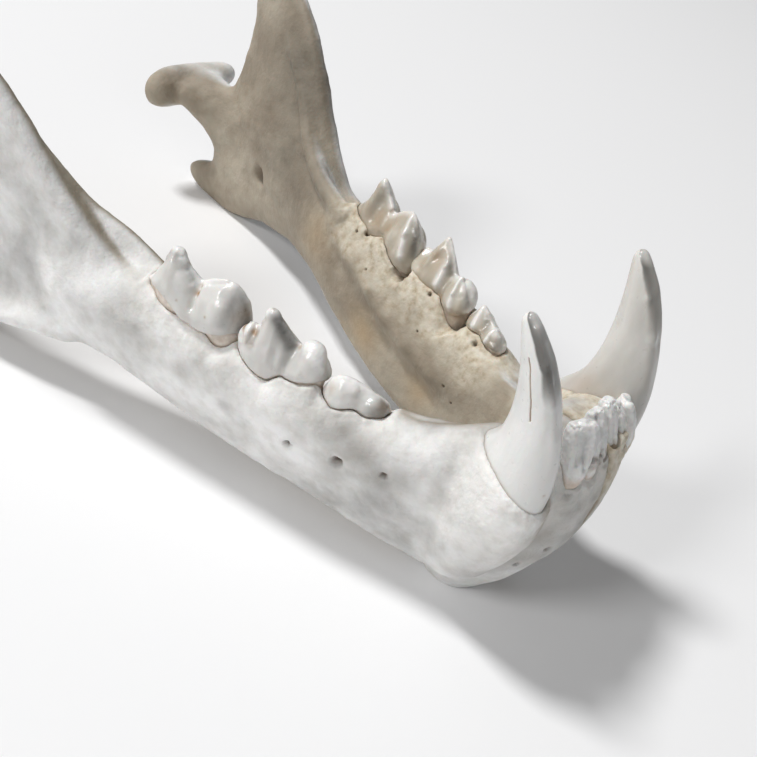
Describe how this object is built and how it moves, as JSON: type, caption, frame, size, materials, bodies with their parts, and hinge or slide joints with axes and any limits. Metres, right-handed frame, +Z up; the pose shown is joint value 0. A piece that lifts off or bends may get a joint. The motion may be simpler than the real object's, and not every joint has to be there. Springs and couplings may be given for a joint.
{
  "type": "leopard lower jaw (mandible)",
  "caption": "Lower jaw of a leopard: two jaw bones that meet at the chin, with curved canines, incisors, shearing cheek teeth and tall coronoid processes.",
  "frame": {"origin": "on the floor that the jaw rests on, under the middle of the jaw's bounding box", "axes": "-Y towards the chin and canines, +X towards the animal's left half, +Z up"},
  "size_m": [0.1026, 0.151, 0.0628],
  "materials": {
    "bone": "dry, bleached bone, matt with a faint sheen on its worn edges",
    "enamel": "glossy, pearly tooth enamel with fine upright streaks"
  },
  "bodies": {
    "root": {"mandible_right": "bone", "mandible_left": "bone", "canine_right": "enamel", "canine_left": "enamel"}
  },
  "joints": []
}
